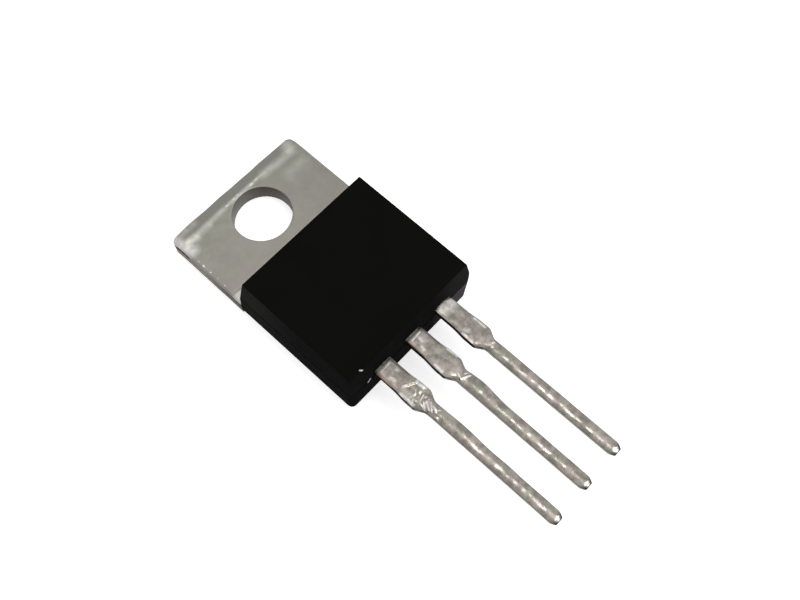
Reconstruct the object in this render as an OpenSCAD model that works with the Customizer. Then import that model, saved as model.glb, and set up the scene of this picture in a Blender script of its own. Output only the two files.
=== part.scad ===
// Three-terminal voltage regulator in a screw-down power package.
// It lies on the bare copper back of its tab, marking face up.
// The origin is on the screw hole's axis, at the mounting face. +Y points to the
// tab's free end, the leads run along -Y, and pin 1, the input, is on the -X side.

/* [Tab] */
// Width of the copper tab
tab_w = 10.28; // [9.8:0.02:10.6]
// Thickness of the tab
tab_t = 1.27; // [1.15:0.01:1.4]
// Diameter of the screw hole
hole_d = 3.8; // [3.5:0.05:4.1]
// From the hole's axis to the tab's free end
hole_to_end = 2.9; // [2.6:0.05:3.4]
// From the hole's axis to the resin
hole_to_resin = 3.45; // [3.1:0.05:4.2]
// Radius of the free end's corners
tab_corner_r = 0.45; // [0.2:0.05:0.8]
// Length of the coined slope along the free end
end_slope_l = 0.75; // [0.4:0.05:0.8]
// How far the coined slope drops at the free end
end_slope_drop = 0.14; // [0.05:0.01:0.3]
// Length of the shallow coined land where the mould clamps the tab
clamp_land_l = 0.8; // [0.4:0.05:0.9]
// Depth of the clamping land
clamp_land_depth = 0.04; // [0.02:0.01:0.1]

/* [Moulded body] */
// How far the body's side lies in from the tab's side at the parting line
side_inset = 0.02; // [0.01:0.01:0.1]
// Length of the body at its parting line
body_l = 9.3; // [8.6:0.05:9.6]
// Height of the marking face above the mounting face
body_h = 4.3; // [4.1:0.05:4.8]
// Draft of the walls above the parting line, in degrees
upper_draft = 8.5; // [3:0.5:9]
// Draft of the side walls below the parting line, in degrees
lower_side_draft = 1; // [0.5:0.5:4]
// Draft of the lead end's wall below the parting line, in degrees
lower_end_draft = 3; // [0.5:0.5:6]
// Radius of the upright corners beside the leads
body_corner_r = 0.4; // [0.2:0.05:0.8]
// How far the resin's back lies behind the copper's
back_recess = 0.03; // [0.02:0.01:0.08]

/* [Leads] */
// Spacing of the leads
lead_pitch = 2.54; // [2.5:0.01:2.6]
// Thickness of the lead sheet
lead_t = 0.45; // [0.38:0.01:0.6]
// Height of the leads' underside, which is also the parting line
lead_z = 2.5; // [2.3:0.05:2.8]
// Length of a lead outside the body
lead_l = 12.85; // [8:0.05:14.2]
// Width of a lead's shank
lead_w = 0.82; // [0.7:0.01:0.95]
// Width of the shoulder where it leaves the body
shoulder_w = 1.3; // [1.15:0.01:1.5]
// Width of the shoulder at its swelling
swelling_w = 1.46; // [1.35:0.01:1.7]
// Length of the shoulder's parallel root
root_l = 1.3; // [0.8:0.05:1.5]
// From the body to the end of the swelling
shoulder_l = 2.9; // [2.6:0.05:3.2]
// Share of the shoulder beyond its root over which it widens to its swelling
swelling_share = 0.7; // [0.5:0.05:0.9]
// Length over which the shoulder narrows to the shank
neck_l = 0.8; // [0.5:0.05:1.2]
// Width of a lead's cut end
tip_w = 0.5; // [0.3:0.01:0.7]
// Length of the tapered tip
tip_l = 0.4; // [0.2:0.05:0.8]
// How far the tip's broad faces close in at the cut end
tip_bevel = 0.09; // [0.02:0.01:0.15]

/* [Die pad inside the body] */
// How far the pad's side lies in from the tab's side
pad_inset = 0.75; // [0.5:0.05:1]
// From the pad's end to the body's lead end
pad_to_end = 3.2; // [2.9:0.05:3.6]
// How far the upper layer overhangs the bare back, which locks it in the resin
lock_lip = 0.4; // [0.2:0.05:0.6]
// Thickness of the pad's narrower lower layer
lock_h = 0.6; // [0.4:0.05:0.8]
// Radius of the anchoring notches in the pad's sides
notch_r = 0.6; // [0.4:0.05:0.8]
// From the resin's near wall to the notches' axis
notch_at = 2.2; // [1.8:0.05:2.6]
// Width of the moisture groove across the pad
groove_w = 0.5; // [0.3:0.05:0.7]
// Depth of the moisture groove
groove_depth = 0.25; // [0.1:0.05:0.4]
// From the resin's near wall to the groove's middle
groove_at = 0.7; // [0.5:0.05:0.9]
// Angle of the joggle that lifts the middle lead
joggle_angle = 60; // [50:1:75]
// Inner radius of the joggle's bends
joggle_r = 0.25; // [0.15:0.05:0.35]
// From the pad's end to the joggle's first bend
joggle_start = 0.15; // [0.05:0.05:0.3]

/* [Bond posts inside the body] */
// Width of an outer lead's bond post
post_w = 2.3; // [1.9:0.05:2.5]
// Length of a bond post
post_l = 1.6; // [1.3:0.05:1.8]
// From the body's lead end to the post
post_neck_l = 1.1; // [0.9:0.05:1.2]
// Diameter of the resin lock hole in a post's neck
lock_hole_d = 0.5; // [0.3:0.05:0.7]

/* [Silicon die] */
// Width of the die
die_w = 2.6; // [2.2:0.05:3.2]
// Length of the die
die_l = 2.4; // [2:0.05:2.8]
// Thickness of the die
die_t = 0.3; // [0.2:0.01:0.4]
// From the pad's end to the die
die_to_pad_end = 1.4; // [1:0.05:1.6]
// Thickness of the solder under the die
solder_t = 0.05; // [0.03:0.01:0.1]
// How far the solder shows round the die
solder_margin = 0.15; // [0.05:0.05:0.3]
// Side of a square bond pad on the die
bond_pad = 0.55; // [0.45:0.01:0.6]
// Thickness of a bond pad
bond_pad_t = 0.02; // [0.01:0.005:0.04]
// From the die's edge to the nearest edge of a bond pad
bond_pad_inset = 0.12; // [0.05:0.01:0.2]

/* [Bond wires] */
// Diameter of a bond wire
wire_d = 0.25; // [0.15:0.01:0.3]
// Rise of the long wires' arcs above their chords
wire_rise = 0.7; // [0.5:0.05:0.9]
// Rise of the short ground wire's arc above its chord
ground_rise = 0.5; // [0.4:0.05:0.6]
// Length of the ground wire along the pad
ground_run = 1.3; // [1:0.05:1.5]
// Length of a wire's flattened foot
foot_l = 0.5; // [0.4:0.01:0.55]
// Width of a wire's flattened foot
foot_w = 0.34; // [0.3:0.01:0.42]
// Height of a wire's flattened foot
foot_h = 0.16; // [0.12:0.01:0.2]

/* [Hidden] */
$fn = 64;

// Sizes and places that several pieces share
body_w = tab_w - 2 * side_inset;
pad_w = tab_w - 2 * pad_inset;
resin_near_y = -hole_to_resin;
resin_far_y = resin_near_y - body_l;
pad_end_y = resin_far_y + pad_to_end;
lead_top_z = lead_z + lead_t;
die_near_y = pad_end_y + die_to_pad_end;
die_mid_y = die_near_y + die_l / 2;
die_z = tab_t + solder_t;
die_top_z = die_z + die_t;
bond_pad_top_z = die_top_z + bond_pad_t;
post_mid_y = resin_far_y + post_neck_l + post_l / 2;

// Run-out that takes a cut clear through a face, and overlap that joins two solids
clear = 1;
joined = 0.3;
// Steps in each eased curve of a lead's outline, and in each bend of the joggle
curve_steps = 8;
// Height of a bond wire's middle above the face it lands on, in wire diameters
landing_lift = 0.55;

// Slides from 0 to 1 with level ends
function ease(share) = (1 - cos(180 * share)) / 2;

// Extrudes a side view, drawn as [y, z], by w across the part's middle
module across(w) {
    rotate([90, 0, 90])
        linear_extrude(w, center = true)
            children();
}

// Extrudes a front view, drawn as [x, z], from y_high down to y_low
module along(y_high, y_low) {
    translate([0, y_high, 0])
        rotate([90, 0, 0])
            linear_extrude(y_high - y_low)
                children();
}

// Rectangle between two y values, centred on x
module strip(w, y_low, y_high) {
    translate([-w / 2, y_low])
        square([w, y_high - y_low]);
}

// Strip whose corners at one end are rounded
module round_ended_strip(w, y_square, y_round, r) {
    toward = sign(y_round - y_square);
    strip(w, min(y_square, y_round - toward * r), max(y_square, y_round - toward * r));
    strip(w - 2 * r, min(y_square, y_round), max(y_square, y_round));
    for (side = [-1, 1])
        translate([side * (w / 2 - r), y_round - toward * r])
            circle(r);
}

// Lead outside the body. Its outline runs down the right side as [half width, y].
function swelling_side() = [
    for (i = [0 : curve_steps])
        let (share = i / curve_steps, swelling_l = (shoulder_l - root_l) * swelling_share)
            [(shoulder_w + (swelling_w - shoulder_w) * ease(share)) / 2,
             resin_far_y - root_l - swelling_l * share]
];

function neck_side() = [
    for (i = [0 : curve_steps])
        let (share = i / curve_steps)
            [(swelling_w + (lead_w - swelling_w) * ease(share)) / 2,
             resin_far_y - shoulder_l - neck_l * share]
];

function lead_side(y_inner) = concat(
    [[shoulder_w / 2, y_inner]],
    swelling_side(),
    neck_side(),
    [
        [lead_w / 2, resin_far_y - lead_l + tip_l],
        [tip_w / 2, resin_far_y - lead_l]
    ]
);

module lead_plan(y_inner) {
    side = lead_side(y_inner);
    last = len(side) - 1;
    polygon(concat(side, [for (i = [last : -1 : 0]) [-side[i][0], side[i][1]]]));
}

// Side view of a straight lead, from y_inner to its bevelled cut end
module lead_side_view(y_inner) {
    tip_y = resin_far_y - lead_l;
    polygon([
        [y_inner, lead_z],
        [y_inner, lead_top_z],
        [tip_y + tip_l, lead_top_z],
        [tip_y, lead_top_z - tip_bevel],
        [tip_y, lead_z + tip_bevel],
        [tip_y + tip_l, lead_z]
    ]);
}

// A stamped lead from y_inner outwards: its plan outline cut to its side view
module stamped_lead(y_inner) {
    intersection() {
        translate([0, 0, lead_z - clear])
            linear_extrude(lead_t + 2 * clear)
                lead_plan(y_inner);
        across(2 * body_w)
            lead_side_view(y_inner);
    }
}

// Outer lead: outside shape, locked neck and broad bond post
module outer_lead(side) {
    post_near_y = resin_far_y + post_neck_l;
    color("silver")
        translate([side * lead_pitch, 0, 0])
            difference() {
                union() {
                    stamped_lead(post_near_y + joined);
                    translate([0, 0, lead_z])
                        linear_extrude(lead_t)
                            strip(post_w, post_near_y, post_near_y + post_l);
                }
                translate([0, resin_far_y + post_neck_l / 2, lead_z - clear])
                    cylinder(h = lead_t + 2 * clear, d = lock_hole_d);
            }
}

module input_lead() {
    outer_lead(-1);
}

module output_lead() {
    outer_lead(1);
}

// Joggle of the middle lead, as [y, z, slope] along the middle of its sheet
joggle_mid_r = joggle_r + lead_t / 2;
joggle_rise = lead_top_z - tab_t;
joggle_bend_y = pad_end_y - joggle_start;
joggle_straight_l =
    (joggle_rise - 2 * joggle_mid_r * (1 - cos(joggle_angle))) / sin(joggle_angle);
joggle_end_y =
    joggle_bend_y - 2 * joggle_mid_r * sin(joggle_angle) - joggle_straight_l * cos(joggle_angle);

function joggle_line() = concat(
    [[pad_end_y + joined, tab_t - lead_t / 2, 0]],
    [
        for (i = [0 : curve_steps])
            let (slope = joggle_angle * i / curve_steps)
                [joggle_bend_y - joggle_mid_r * sin(slope),
                 tab_t - lead_t / 2 + joggle_mid_r * (1 - cos(slope)), slope]
    ],
    [
        for (i = [curve_steps : -1 : 0])
            let (slope = joggle_angle * i / curve_steps)
                [joggle_end_y + joggle_mid_r * sin(slope),
                 lead_top_z - lead_t / 2 - joggle_mid_r * (1 - cos(slope)), slope]
    ],
    [[joggle_end_y - joined, lead_top_z - lead_t / 2, 0]]
);

// Side of the joggle's sheet, half a thickness above (1) or below (-1) its middle
function joggle_face(way) = [
    for (p = joggle_line())
        [p[0] + way * sin(p[2]) * lead_t / 2, p[1] + way * cos(p[2]) * lead_t / 2]
];

module joggle_side_view() {
    top = joggle_face(1);
    under = joggle_face(-1);
    polygon(concat(top, [for (i = [len(under) - 1 : -1 : 0]) under[i]]));
}

module middle_lead() {
    across(shoulder_w)
        joggle_side_view();
    stamped_lead(joggle_end_y);
}

// Flat copper: the full-width tab, and the stepped die pad that the resin grips
module tab_plate() {
    linear_extrude(tab_t)
        round_ended_strip(tab_w, resin_near_y, hole_to_end, tab_corner_r);
    linear_extrude(tab_t)
        strip(pad_w - 2 * lock_lip, pad_end_y + lock_lip, resin_near_y + joined);
    translate([0, 0, lock_h])
        linear_extrude(tab_t - lock_h)
            strip(pad_w, pad_end_y, resin_near_y + joined);
}

module end_slope_cut() {
    run_out_drop = end_slope_drop * (1 + clear / end_slope_l);
    across(tab_w + 2 * clear)
        polygon([
            [hole_to_end - end_slope_l, tab_t],
            [hole_to_end + clear, tab_t - run_out_drop],
            [hole_to_end + clear, tab_t + clear],
            [hole_to_end - end_slope_l, tab_t + clear]
        ]);
}

module clamp_land_cut() {
    across(tab_w + 2 * clear)
        translate([resin_near_y, tab_t - clamp_land_depth])
            square([clamp_land_l, clear]);
}

module moisture_groove_cut() {
    groove_y = resin_near_y - groove_at;
    across(tab_w + 2 * clear)
        polygon([
            [groove_y - groove_w / 2, tab_t],
            [groove_y, tab_t - groove_depth],
            [groove_y + groove_w / 2, tab_t],
            [groove_y + groove_w / 2, tab_t + clear],
            [groove_y - groove_w / 2, tab_t + clear]
        ]);
}

module pad_notch_cuts() {
    for (side = [-1, 1])
        translate([side * pad_w / 2, resin_near_y - notch_at, -clear])
            cylinder(h = tab_t + 2 * clear, r = notch_r);
}

module screw_hole_cut() {
    translate([0, 0, -clear])
        cylinder(h = tab_t + 2 * clear, d = hole_d);
}

// Tab, die pad and middle lead are one stamping
module heat_tab() {
    color("gainsboro") {
        difference() {
            tab_plate();
            screw_hole_cut();
            end_slope_cut();
            clamp_land_cut();
            moisture_groove_cut();
            pad_notch_cuts();
        }
        middle_lead();
    }
}

module die_solder() {
    color("lightslategray")
        translate([0, die_mid_y, tab_t + solder_t / 2])
            cube([die_w + 2 * solder_margin, die_l + 2 * solder_margin, solder_t], center = true);
}

// Middles of the bond pads: how far out across the die, and the two rows along it
bond_pad_reach = die_w / 2 - bond_pad_inset - bond_pad / 2;
near_pad_y = die_near_y + bond_pad_inset + bond_pad / 2;
far_pad_y = die_near_y + die_l - bond_pad_inset - bond_pad / 2;

input_pad = [-bond_pad_reach, near_pad_y, bond_pad_top_z];
sense_pad = [0, near_pad_y, bond_pad_top_z];
output_pad = [bond_pad_reach, near_pad_y, bond_pad_top_z];
ground_pad = [0, far_pad_y, bond_pad_top_z];

module regulator_die() {
    color("slategray") {
        translate([0, die_mid_y, die_z + die_t / 2])
            cube([die_w, die_l, die_t], center = true);
        for (middle = [input_pad, sense_pad, output_pad, ground_pad])
            translate([middle[0], middle[1], die_top_z])
                translate([-bond_pad / 2, -bond_pad / 2, -die_t / 2])
                    cube([bond_pad, bond_pad, die_t / 2 + bond_pad_t]);
    }
}

// Places where the wires land, on the posts and on the pad
input_landing = [-lead_pitch, post_mid_y, lead_top_z];
output_landing = [lead_pitch + foot_w, post_mid_y, lead_top_z];
sense_landing = [lead_pitch - post_w / 2 + foot_w, post_mid_y, lead_top_z];
ground_landing = [0, far_pad_y + ground_run, tab_t];

// Flattened foot of a wire, lengthwise along x
module wire_foot() {
    half = (foot_l - foot_w) / 2;
    linear_extrude(foot_h) {
        square([2 * half, foot_w], center = true);
        for (side = [-1, 1])
            translate([side * half, 0])
                circle(d = foot_w);
    }
}

// Bond wire between two surface points: one circular arc in an upright plane, and two feet
module bond_wire(from, to, rise) {
    run = norm([to[0] - from[0], to[1] - from[1]]);
    climb = to[2] - from[2];
    chord = norm([run, climb]);
    tilt = atan2(climb, run);
    arc_r = (chord * chord / 4 + rise * rise) / (2 * rise);
    half_angle = asin(chord / (2 * arc_r));
    sink = arc_r - rise;
    end_z = landing_lift * wire_d;
    color("whitesmoke")
        translate(from)
            rotate([0, 0, atan2(to[1] - from[1], to[0] - from[0])]) {
                wire_foot();
                translate([run, 0, climb])
                    wire_foot();
                translate([
                    run / 2 + sink * sin(tilt),
                    0,
                    climb / 2 + end_z - sink * cos(tilt)
                ])
                    rotate([90, 0, 0])
                        rotate([0, 0, tilt + 90 - half_angle])
                            rotate_extrude(angle = 2 * half_angle)
                                translate([arc_r, 0])
                                    circle(d = wire_d);
            }
}

module input_wire() {
    bond_wire(input_pad, input_landing, wire_rise);
}

module output_wire() {
    bond_wire(output_pad, output_landing, wire_rise);
}

module sense_wire() {
    bond_wire(sense_pad, sense_landing, wire_rise);
}

module ground_wire() {
    bond_wire(ground_pad, ground_landing, ground_rise);
}

// Side view of the resin. Its near wall closes on the tab and leans back above it.
module body_side_view() {
    polygon([
        [resin_near_y, back_recess],
        [resin_near_y, tab_t],
        [resin_near_y - (body_h - tab_t) * tan(upper_draft), body_h],
        [resin_far_y + (body_h - lead_z) * tan(upper_draft), body_h],
        [resin_far_y, lead_z],
        [resin_far_y + (lead_z - back_recess) * tan(lower_end_draft), back_recess]
    ]);
}

module body_front_view() {
    half = body_w / 2;
    half_top = half - (body_h - lead_z) * tan(upper_draft);
    half_back = half - (lead_z - back_recess) * tan(lower_side_draft);
    polygon([
        [-half_back, back_recess],
        [half_back, back_recess],
        [half, lead_z],
        [half_top, body_h],
        [-half_top, body_h],
        [-half, lead_z]
    ]);
}

// Resin block: three views of it, each extruded through the others
module resin_block() {
    intersection() {
        across(body_w + 2 * clear)
            body_side_view();
        along(resin_near_y + clear, resin_far_y - clear)
            body_front_view();
        linear_extrude(body_h + clear)
            round_ended_strip(body_w, resin_near_y, resin_far_y, body_corner_r);
    }
}

// The resin is cast round everything that it holds
module moulded_body() {
    color("#1b1b1d")
        difference() {
            resin_block();
            heat_tab();
            input_lead();
            output_lead();
            die_solder();
            regulator_die();
            input_wire();
            output_wire();
            sense_wire();
            ground_wire();
        }
}

moulded_body();
heat_tab();
input_lead();
output_lead();
die_solder();
regulator_die();
input_wire();
output_wire();
sense_wire();
ground_wire();
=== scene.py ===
# Looks of a three-lead power regulator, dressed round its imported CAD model. Lengths are in
# millimetres in the part's own frame, and each mesh turns into metres when it is finished.
import math

import bmesh
import bpy
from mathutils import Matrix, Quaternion, Vector, noise


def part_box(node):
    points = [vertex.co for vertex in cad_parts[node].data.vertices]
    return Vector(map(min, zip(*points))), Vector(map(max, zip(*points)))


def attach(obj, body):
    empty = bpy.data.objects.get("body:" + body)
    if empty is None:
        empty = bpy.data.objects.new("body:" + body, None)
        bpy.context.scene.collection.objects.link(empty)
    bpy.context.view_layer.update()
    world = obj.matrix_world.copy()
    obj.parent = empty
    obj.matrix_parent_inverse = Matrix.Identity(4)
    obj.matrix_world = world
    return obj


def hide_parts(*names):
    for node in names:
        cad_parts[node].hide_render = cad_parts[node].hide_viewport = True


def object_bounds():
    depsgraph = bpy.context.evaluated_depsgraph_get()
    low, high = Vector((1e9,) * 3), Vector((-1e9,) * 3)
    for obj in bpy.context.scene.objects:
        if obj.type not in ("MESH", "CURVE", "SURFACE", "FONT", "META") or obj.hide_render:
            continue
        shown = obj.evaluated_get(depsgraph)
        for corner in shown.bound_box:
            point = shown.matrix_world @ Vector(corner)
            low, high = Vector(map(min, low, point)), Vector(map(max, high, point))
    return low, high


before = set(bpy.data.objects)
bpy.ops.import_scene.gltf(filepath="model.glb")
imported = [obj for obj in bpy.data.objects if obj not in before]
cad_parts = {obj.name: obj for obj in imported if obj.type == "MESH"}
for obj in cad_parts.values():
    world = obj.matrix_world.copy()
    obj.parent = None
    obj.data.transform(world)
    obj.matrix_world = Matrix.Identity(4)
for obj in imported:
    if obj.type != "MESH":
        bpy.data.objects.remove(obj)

MM = 0.001
CAD_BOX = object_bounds()

# Camera: where it stands, what it aims at, its tilt in degrees, its lens, its sensor, and the
# nearest that it sees
CAMERA_PLACE = (-14.704, -25.070, 53.402)
CAMERA_AIM = (1.939, -9.932, 0.0)
CAMERA_ROLL = -0.502
CAMERA_LENS = 42.395
CAMERA_SENSOR = 36.0
CAMERA_NEAR = 1.0

# Sky: brightness at the horizon, where 1 is white, and how it grows along each axis
SKY_LEVEL = 0.5
SKY_SLOPE = (0.25, 0.0, 0.45)

# Floor: radius in metres, colour, a glow that shows but casts no light on matt faces, and how
# far it lies below the part
FLOOR_RADIUS = 2.0
FLOOR_COLOUR = (0.92, 0.92, 0.92, 1)
FLOOR_GLOW = 0.6
FLOOR_GAP = 0.005

# Lamps: distance in metres, and for each one its direction, half angles in degrees across and
# along the leads, and brightness, where 1 is white
LAMP_DISTANCE = 0.4
LAMPS = {
    "strip_lamp": ((0.14, 0.04, 0.99), 2.5, 7.0, 9.0),
    "front_lamp": ((0.25, -0.41, 0.88), 9.0, 8.0, 5.0),
}

# How near a point counts as on a face, how near two points count as one, by a coarse and a
# fine measure, the slack of a cut, and how far a flat face's facets may turn, in degrees
NEAR = 0.01
TOUCHING = 1e-3
WELD = 1e-4
CUT_SLACK = 1e-5
FLAT_ANGLE = 0.3


# Outlines of the CAD pieces
def box_mm(node):
    low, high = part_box(node)
    return low / MM, high / MM


TAB_LOW, TAB_HIGH = box_mm("heat_tab")
BODY_LOW, BODY_HIGH = box_mm("moulded_body")
LEAD_LOW, LEAD_HIGH = box_mm("input_lead")
DIE_HIGH = box_mm("regulator_die")[1]
LEAD_PITCH = -(LEAD_LOW.x + LEAD_HIGH.x) / 2
LEAD_MIDDLES = (-LEAD_PITCH, 0.0, LEAD_PITCH)
LEAD_MID_Z = (LEAD_LOW.z + LEAD_HIGH.z) / 2
LEAD_T = LEAD_HIGH.z - LEAD_LOW.z
RESIN_Y = BODY_LOW.y
TIP_Y = LEAD_LOW.y

# Tab: thickness, hole, start of the coined strip along its free end, least angle in degrees
# of an edge that gets rounded, and radii of the upper edges, the under edges and the hole's rim
TAB_T = 1.27
HOLE_R = 1.9
CREASE_Y = TAB_HIGH.y - 0.85
TAB_SHARP_ANGLE = 30
TAB_ROLL = 0.12
TAB_UNDER_ROLL = 0.03
HOLE_ROLL = 0.05

# Edges that stay sharp in the shading, by their angle in degrees
BODY_CREASE_ANGLE = 25
TAB_CREASE_ANGLE = 35
LEAD_CREASE_ANGLE = 50

# Clamping land beside the body: where it starts, and its step down
LAND_Y = BODY_HIGH.y + 0.8
LAND_DEPTH = 0.04
LAND_RUN = 0.12
LAND_UNDER_RESIN = 0.02

# Wear of the free tab: grid that carries it, waves of the top, ridge at the crease, droop of
# one corner, and waves of the sides and the end, with where each starts
TAB_GRID = 0.2
FREE_Y = -3.4
FREE_RUN = 0.4
TOP_WAVE = 0.006
CREASE_RISE = 0.012
CREASE_REACH = 0.12
DROOP = 0.10
DROOP_REACH = 1.1
SIDE_WAVE = 0.020
SIDE_WAVE_X = 4.6
END_WAVE = 0.045
END_WAVE_Y = 2.4
WAVE_RUN = 0.5

# Body: edges that get rounded and by how much, and the witness line of the mould's halves
BODY_SHARP_ANGLE = 20
BODY_EDGE = 0.06
PARTING_Z = LEAD_LOW.z
WITNESS_HALF_W = 0.03
WITNESS_DEPTH = 0.025

# Body below the parting line: corners, draft in degrees, about how far the walls draw in by
# the mounting face, and the cuts that let the corners follow
CORNER_R = 0.4
SIDE_DRAFT = 1.0
END_DRAFT = 3.0
SIDE_DRAW = 0.04
END_DRAW = 0.13
CORNER_CUTS = 8

# Leads: distances from the resin, widths, and the curves of the tip
ROOT_L = 1.3
SWELLING_START = 2.42
SHOULDER_L = 2.9
NECK_L = 0.8
SHOULDER_W = 1.3
SWELLING_W = 1.46
SHANK_W = 0.82
TIP_L = 0.4
TIP_W = 0.5
TIP_CURVE = 1.6
TIP_BEVEL = 0.09
TIP_BEVEL_CURVE = 1.3
CUT_INSIDE = 0.35
RING_STEP = 0.03

# Leads: cross-section, rounded at the edges and crowned, with a broader crown at the shoulder
LEAD_EDGE = 0.045
SHANK_CROWN = 0.06
SHOULDER_CROWN = 0.035
SHANK_FLATNESS = 2.1
SHOULDER_ADDED_FLATNESS = 3
SECTION_TOP_POINTS = 24
SECTION_CORNER_POINTS = 4

# Solder dip: distance from the resin where it starts, stretches over which its edges and its
# faces grow uneven, waves of its edges, broad and fine waves of its faces, and ridges
DIP_START = 0.05
EDGE_WAVE_RUN = 0.5
FACE_WAVE_RUN = 1.6
EDGE_WAVE = 0.010
BROAD_WAVE = 0.006
FINE_WAVE = 0.007
FINE_STRETCH = 1.6
RIDGE_REACH = 0.09
RIDGE_HEIGHT = 0.02

# What the dip left on each lead: lumps as (x from the lead's middle, y, reach, height), bulges
# of its +x side as (y, reach, how far it stands out), one crinkled stretch as (y, reach,
# height), and scratched ridges as (x, y, x, y)
DIPS = {
    "input_lead": {
        "lumps": [(-0.3, -15.95, 0.14, 0.02), (-0.3, -15.55, 0.12, 0.015),
                  (0.05, -16.65, 0.18, 0.03), (-0.3, -17.05, 0.14, 0.02)],
        "bulges": [(-18.4, 2.0, 0.07), (-21.7, 1.0, 0.02)],
        "crinkle": (-15.9, 1.4, 0.012),
        "ridges": [(-0.2, -14.4, 0.15, -14.6), (0.15, -14.6, 0.5, -14.8),
                   (0.5, -14.8, 0.6, -15.4), (-0.05, -15.9, -0.45, -16.3),
                   (0.1, -16.0, -0.25, -16.45), (0.2, -16.25, -0.2, -16.6),
                   (0.3, -15.6, -0.1, -15.7)]},
    "heat_tab": {
        "lumps": [(0.1, -17.4, 0.6, 0.015)],
        "bulges": [(-17.6, 2.0, 0.15)],
        "crinkle": (-16.4, 0.3, 0.004),
        "ridges": [(-0.06, -16.22, -0.23, -16.57), (-0.2, -16.5, 0.37, -16.8)]},
    "output_lead": {
        "lumps": [(0.1, -16.4, 0.35, 0.012)],
        "bulges": [],
        "crinkle": (-16.5, 0.4, 0.004),
        "ridges": []},
}


# Numbers

def clamp(value, low=0.0, high=1.0):
    return max(low, min(high, value))


def ease(share):
    """Slides from 0 to 1 with level ends."""
    share = clamp(share)
    return share * share * (3 - 2 * share)


def hump(distance, reach):
    """1 at no distance, easing to 0 at the reach."""
    return ease(1 - abs(distance) / reach)


def waver(x, y, z, size):
    """Smooth noise between about -1 and 1, with hills this many millimetres long."""
    return noise.noise(Vector((x, y, z)) / size)


# Meshes

def new_piece(name, mesh, slot, *nodes):
    """An object in the part's frame that stands for the CAD nodes."""
    piece = bpy.data.objects.new(name, mesh)
    bpy.context.scene.collection.objects.link(piece)
    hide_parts(*nodes)
    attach(piece, "root")
    return piece


def smooth(mesh, sharp_angle):
    """Shades smooth, apart from edges sharper than the angle in degrees."""
    for face in mesh.polygons:
        face.use_smooth = True
    mesh.set_sharp_from_angle(angle=math.radians(sharp_angle))


def even_normals(piece):
    """Lets the large flat faces keep their own normals beside small round ones."""
    weighted = piece.modifiers.new("even_normals", "WEIGHTED_NORMAL")
    weighted.keep_sharp = True


def join_facets(bm):
    """Makes each flat face whole."""
    bmesh.ops.dissolve_limit(
        bm, angle_limit=math.radians(FLAT_ANGLE), verts=bm.verts, edges=bm.edges)


def cad_copy(node):
    """The node's mesh in millimetres, welded, with its flat faces whole."""
    bm = bmesh.new()
    bm.from_mesh(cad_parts[node].data)
    bmesh.ops.scale(bm, vec=Vector((1, 1, 1)) / MM, verts=bm.verts)
    bmesh.ops.remove_doubles(bm, verts=bm.verts, dist=WELD)
    join_facets(bm)
    return bm


def finish_mesh(bm, name):
    """Turns a bmesh in millimetres into a mesh in metres."""
    bmesh.ops.scale(bm, vec=Vector((MM, MM, MM)), verts=bm.verts)
    bmesh.ops.recalc_face_normals(bm, faces=bm.faces)
    mesh = bpy.data.meshes.new(name)
    bm.to_mesh(mesh)
    bm.free()
    return mesh


def round_edges(bm, edges, radius, segments):
    bmesh.ops.bevel(
        bm, geom=edges, offset=radius, offset_type="OFFSET", segments=segments,
        profile=0.5, affect="EDGES", clamp_overlap=False)


def bisect(bm, point, normal, **keep):
    bmesh.ops.bisect_plane(
        bm, geom=bm.verts[:] + bm.edges[:] + bm.faces[:], dist=CUT_SLACK,
        plane_co=point, plane_no=normal, **keep)


def keep_within_resin(bm):
    """Cuts off what lies outside, a little inside the resin, and closes the cut."""
    bisect(bm, (0, RESIN_Y + CUT_INSIDE, 0), (0, -1, 0), clear_outer=True)
    bmesh.ops.holes_fill(bm, edges=[e for e in bm.edges if e.is_boundary])


def edge_angle(edge):
    return math.degrees(edge.calc_face_angle(0))


# Moulded body

def hull_faces(bm):
    """Faces that have the whole body behind them, so that lie on its outside."""
    places = [v.co for v in bm.verts]
    outside = set()
    for face in bm.faces:
        level = face.normal.dot(face.verts[0].co) + TOUCHING
        if all(face.normal.dot(place) < level for place in places):
            outside.add(face)
    return outside


def cut_witness_line(bm):
    """Shallow groove where the two halves of the mould met."""
    for z in (PARTING_Z - WITNESS_HALF_W, PARTING_Z + WITNESS_HALF_W):
        bisect(bm, (0, 0, z), (0, 0, 1))
    middle = Vector(((BODY_LOW.x + BODY_HIGH.x) / 2, (BODY_LOW.y + BODY_HIGH.y) / 2, 0))
    reach = (BODY_HIGH - BODY_LOW) / 2
    for vert in bm.verts:
        on_side = abs(abs(vert.co.x - middle.x) - reach.x) < NEAR
        on_end = abs(vert.co.y - BODY_LOW.y) < NEAR
        if abs(vert.co.z - PARTING_Z) < TOUCHING and (on_side or on_end):
            inward = middle - vert.co
            inward.z = 0
            vert.co += inward.normalized() * WITNESS_DEPTH


def is_lower_corner(edge):
    """Whether an edge runs down a corner beneath the parting line."""
    one, other = (v.co for v in edge.verts)
    rise = abs(one.z - other.z)
    return max(one.z, other.z) < PARTING_Z + NEAR and rise > 0.5 * (one - other).length


def slice_corners(bm):
    """Cuts the walls near the lower corners into a grid."""
    for i in range(CORNER_CUTS):
        reach = CORNER_R * (1 - i / (CORNER_CUTS - 1))
        bisect(bm, (0, RESIN_Y + END_DRAW + reach, 0), (0, 1, 0))
        for x in (BODY_LOW.x + SIDE_DRAW + reach, BODY_HIGH.x - SIDE_DRAW - reach):
            bisect(bm, (x, 0, 0), (1, 0, 0))
    for i in range(CORNER_CUTS):
        bisect(bm, (0, 0, PARTING_Z * (i + 1) / (CORNER_CUTS + 1)), (0, 0, 1))


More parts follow.
